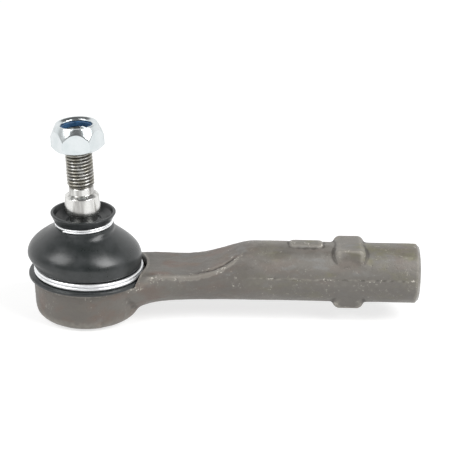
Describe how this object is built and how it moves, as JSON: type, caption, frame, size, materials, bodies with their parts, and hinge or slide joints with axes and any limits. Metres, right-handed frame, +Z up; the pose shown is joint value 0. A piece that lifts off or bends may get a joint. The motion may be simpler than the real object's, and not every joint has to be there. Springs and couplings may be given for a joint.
{
  "type": "tie rod end",
  "caption": "Outer tie rod end: ball stud with lock nut and rubber boot in a forged socket, whose shank ends in a tapped tube with spanner flats.",
  "frame": {"origin": "centre of the socket's base, on the flat middle of its end cover", "axes": "+Z up the socket's axis towards the stud, +X along the shank towards the tapped end"},
  "size_m": [0.1455, 0.0436, 0.0751],
  "materials": {
    "forging": "phosphated forged skin, satin",
    "cover_steel": "pressed sheet, satin",
    "spring_steel": "oiled spring steel",
    "bearing_plastic": "natural acetal",
    "stud_steel": "ground and rolled bright steel",
    "boot_rubber": "moulded rubber, satin",
    "ring_wire": "bright zinc-plated wire",
    "zinc_plate": "bright blue zinc plate",
    "blue_nylon": "moulded nylon"
  },
  "bodies": {
    "housing": {"forged_body": "forging", "end_cover": "cover_steel", "preload_spring": "spring_steel", "lower_seat": "bearing_plastic", "upper_seat": "bearing_plastic", "boot_ring_lower": "ring_wire"},
    "boot": {"dust_boot": "boot_rubber"},
    "boot_collar": {"boot_ring_upper": "ring_wire"},
    "stud": {"ball_stud": "stud_steel"},
    "nut_lead": {"nylon_insert": "blue_nylon"},
    "nut": {"lock_nut": "zinc_plate"}
  },
  "joints": [
    {"name": "swing_direction", "type": "hinge", "parent": "housing", "child": "boot", "pos_m": [0, 0, 0.0164], "axis": [0, 0, 1], "continuous": true},
    {"name": "stud_swing", "type": "hinge", "parent": "boot", "child": "boot_collar", "pos_m": [0, 0, 0.0164], "axis": [0, 1, 0], "range_deg": [-21.3, 28.7], "deforming": ["dust_boot"]},
    {"name": "stud_spin", "type": "hinge", "parent": "boot_collar", "child": "stud", "pos_m": [0, 0, 0.0164], "axis": [-0.0645, 0, 0.9979], "continuous": true},
    {"name": "nut_travel", "type": "slide", "parent": "stud", "child": "nut_lead", "axis": [-0.0645, 0, 0.9979], "range_m": [-0.013, 0.005]},
    {"name": "nut_turn", "type": "hinge", "parent": "nut_lead", "child": "nut", "pos_m": [0, 0, 0.0164], "axis": [-0.0645, 0, 0.9979], "range_deg": [-3750, 1446]}
  ],
  "couplings": [
    {"joint": "nut_turn", "follows": "nut_travel", "rad_per_m": 5026.5}
  ]
}
